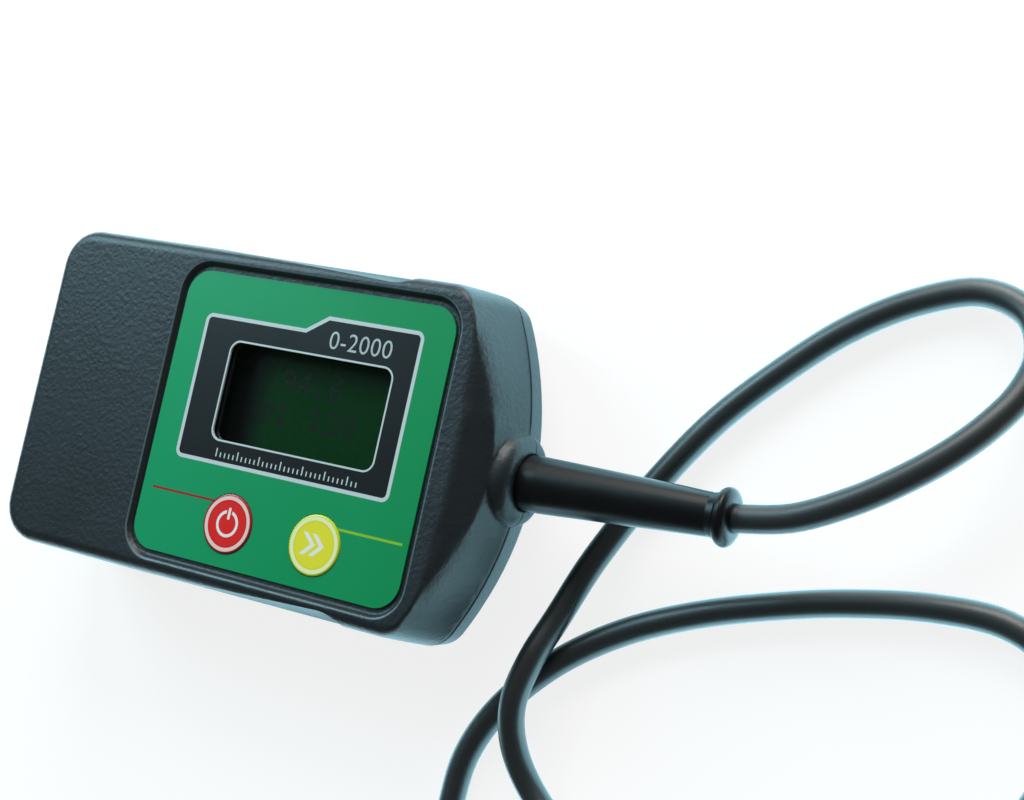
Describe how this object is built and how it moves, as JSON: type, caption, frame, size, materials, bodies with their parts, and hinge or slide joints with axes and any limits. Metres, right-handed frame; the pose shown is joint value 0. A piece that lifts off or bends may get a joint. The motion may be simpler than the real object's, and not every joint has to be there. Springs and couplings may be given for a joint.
{
  "type": "coating thickness gauge",
  "caption": "Hand-held coating thickness gauge: moulded housing with display, two keys and battery door, and a measuring probe on a flexible cable.",
  "frame": {"origin": "on the surface that the gauge lies on, under the middle of the housing's box (cable, boot and probe left out)", "axes": "+X along the housing towards the cable end, +Y across the housing towards the display side of the label, +Z out of the face, upwards"},
  "size_m": [0.2191, 0.1822, 0.027],
  "materials": {
    "housing": "spark-eroded satin black",
    "label": "printed film, satin",
    "pane": "clear acrylic",
    "dark_metal": "blackened sheet",
    "display": "dark green liquid crystal glass",
    "backlight": "white moulding",
    "board": "green solder mask",
    "component": "black moulding",
    "steel": "bright",
    "power_key": "printed red cap",
    "function_key": "printed yellow cap",
    "battery": "plain wrapped steel can",
    "lead": "insulated wire",
    "boot": "satin black rubber",
    "cable": "satin black cable jacket",
    "tie": "matt black strap",
    "probe": "satin black",
    "probe_metal": "turned"
  },
  "bodies": {
    "housing": {"front_shell": "housing", "back_shell": "housing", "face_label": "label", "display_pane": "pane", "display_frame": "dark_metal", "display_glass": "display", "display_backlight": "backlight", "display_board": "board", "display_header": "component", "main_board": "board", "controller_chip": "component", "amplifier_chip": "component", "regulator_chip": "component", "crystal": "steel", "filter_capacitors": "component", "power_switch": "component", "function_switch": "component", "battery": "battery", "battery_studs": "steel", "battery_clip": "component", "battery_leads": "lead", "sensor_connector": "backlight", "sensor_leads": "lead", "board_screws": "steel", "case_screws": "steel", "cable_boot": "boot", "probe_cable": "cable", "cable_coil": "cable", "cable_tie": "tie", "cable_tail": "cable", "probe_boot": "boot", "probe_body": "probe", "probe_nose": "probe_metal", "probe_tip": "steel"},
    "power_button": {"power_key": "power_key"},
    "function_button": {"function_key": "function_key"},
    "door": {"battery_door": "housing"}
  },
  "joints": [
    {"name": "power_press", "type": "slide", "parent": "housing", "child": "power_button", "axis": [0, 0, -1], "range_m": [0, 0.0004], "stiffness_N_per_m": 300},
    {"name": "function_press", "type": "slide", "parent": "housing", "child": "function_button", "axis": [0, 0, -1], "range_m": [0, 0.0004], "stiffness_N_per_m": 300},
    {"name": "door_slide", "type": "slide", "parent": "housing", "child": "door", "axis": [-1, 0, 0], "range_m": [0, 0.036]}
  ]
}
